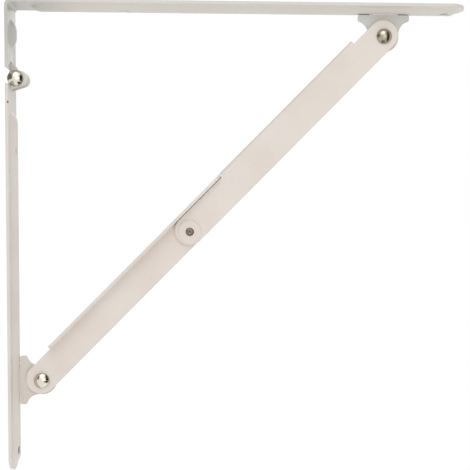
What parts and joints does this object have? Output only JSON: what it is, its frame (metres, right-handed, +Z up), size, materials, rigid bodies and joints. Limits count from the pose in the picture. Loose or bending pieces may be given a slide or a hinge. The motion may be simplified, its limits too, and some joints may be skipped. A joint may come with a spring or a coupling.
{
  "type": "folding shelf bracket",
  "caption": "Folding shelf bracket: beaded wall and shelf arms hinged at the corner, with a flanged toggle brace that locks straight and folds at its elbow.",
  "frame": {"origin": "where the wall plane meets the underside of the shelf, on the arms' centre line", "axes": "+X out from the wall, +Z up, Y along the shelf"},
  "size_m": [0.3, 0.025, 0.306],
  "materials": {
    "white_paint": "satin warm off-white powder coat on steel",
    "polished_rivet": "polished nickel-plated steel",
    "dark_pin": "dull riveted steel"
  },
  "bodies": {
    "wall_frame": {"wall_arm": "white_paint", "wall_lug": "white_paint", "lower_pivot_rivet": "polished_rivet", "corner_rivet_ends": "polished_rivet"},
    "lower_link": {"lower_brace": "white_paint", "elbow_pin": "dark_pin"},
    "upper_link": {"upper_brace": "white_paint"},
    "shelf_frame": {"shelf_arm": "white_paint", "shelf_lug": "white_paint", "upper_pivot_rivet": "polished_rivet", "corner_rivet_core": "polished_rivet"}
  },
  "joints": [
    {"name": "brace_fold", "type": "hinge", "parent": "wall_frame", "child": "lower_link", "pos_m": [0.02, 0, -0.247], "axis": [0, -1, 0], "range_deg": [0, 45.07]},
    {"name": "elbow_fold", "type": "hinge", "parent": "lower_link", "child": "upper_link", "pos_m": [0.11757, 0, -0.149], "axis": [0, -1, 0], "range_deg": [-173.74, 0]},
    {"name": "shelf_fold", "type": "hinge", "parent": "upper_link", "child": "shelf_frame", "pos_m": [0.246, 0, -0.02], "axis": [0, -1, 0], "range_deg": [0, 39.97]}
  ],
  "couplings": [
    {"joint": "elbow_fold", "follows": "brace_fold", "ratio": -3.8535},
    {"joint": "shelf_fold", "follows": "brace_fold", "ratio": 0.88558}
  ]
}
